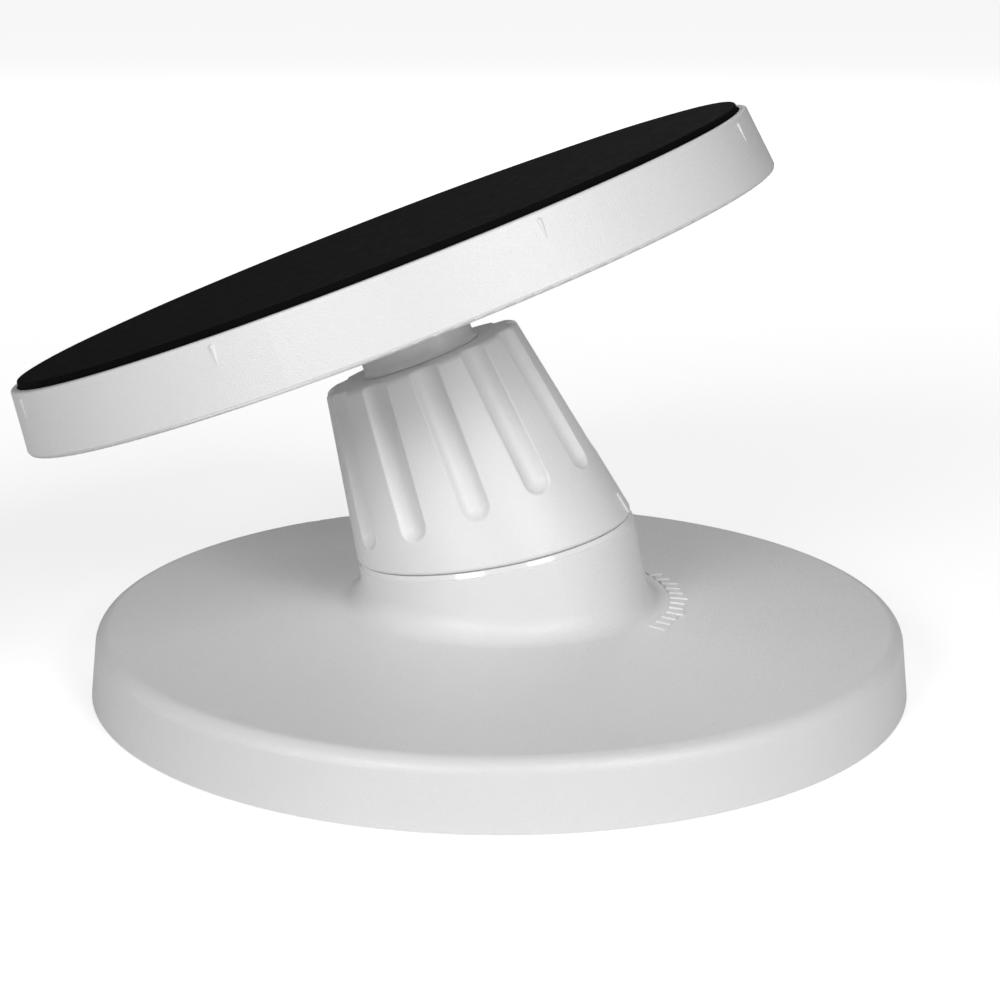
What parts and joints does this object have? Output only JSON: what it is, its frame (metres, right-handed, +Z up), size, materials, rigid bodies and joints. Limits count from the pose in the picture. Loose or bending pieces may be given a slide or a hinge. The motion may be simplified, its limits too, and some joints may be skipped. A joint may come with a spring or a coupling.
{
  "type": "tilting swivel display stand",
  "caption": "Round weighted base with a slanted fluted collar that carries a tilting, swivelling round disc with a non-slip pad, to stand a counter display on.",
  "frame": {"origin": "middle of the underside of the base's foot pad, where the stand rests", "axes": "+Z up, -Y to the front, towards which the disc tilts, +X to the right of someone looking along +Y"},
  "size_m": [0.2, 0.2166, 0.141],
  "materials": {
    "white_shell": "fine spark-textured white ABS, semi-gloss",
    "glide_plastic": "polished white acetal",
    "bush_plastic": "natural acetal",
    "weight_steel": "rolled plate, phosphated",
    "dark_shell": "moulded black ABS",
    "foot_rubber": "matt non-slip rubber sheet",
    "pad_rubber": "matt black non-slip cellular rubber with a fine grain",
    "adhesive_film": "double-sided film",
    "plate_steel": "zinc-plated sheet steel",
    "bolt_steel": "bright zinc-plated steel",
    "screw_steel": "black-oxide steel",
    "spring_steel": "hardened spring steel, oiled",
    "friction_lining": "pressed fibre friction lining"
  },
  "bodies": {
    "base": {"base_cover": "white_shell", "glide_ring": "glide_plastic", "neck_bush": "bush_plastic", "ballast_plate": "weight_steel", "ballast_screws": "bolt_steel", "bottom_cover": "dark_shell", "bottom_cover_screws": "bolt_steel", "foot_pad": "foot_rubber"},
    "collar": {"tilt_collar": "white_shell", "collar_base_plate": "plate_steel", "collar_plate_screws": "bolt_steel", "tilt_bolt": "bolt_steel", "tilt_friction_washer": "friction_lining", "tilt_pressure_washer": "bolt_steel", "tilt_spring_washers": "spring_steel", "tilt_lock_nut": "bolt_steel", "swivel_bush": "bush_plastic"},
    "disc": {"disc_tray": "white_shell", "disc_underplate": "white_shell", "underplate_screws": "screw_steel", "hub_screws": "screw_steel", "stiffener_plate": "plate_steel", "swivel_bolt": "bolt_steel", "swivel_thrust_washer": "bush_plastic", "swivel_friction_washer": "friction_lining", "swivel_pressure_washer": "bolt_steel", "swivel_spring_washers": "spring_steel", "swivel_lock_nut": "bolt_steel", "pad_adhesive": "adhesive_film", "top_pad": "pad_rubber"}
  },
  "joints": [
    {"name": "tilt_swivel", "type": "hinge", "parent": "base", "child": "collar", "pos_m": [0, 0, 0.0295], "axis": [0, -0.1852, 0.9827], "continuous": true},
    {"name": "disc_swivel", "type": "hinge", "parent": "collar", "child": "disc", "pos_m": [0, 0, 0.0295], "axis": [0, -0.3641, 0.9314], "continuous": true}
  ]
}
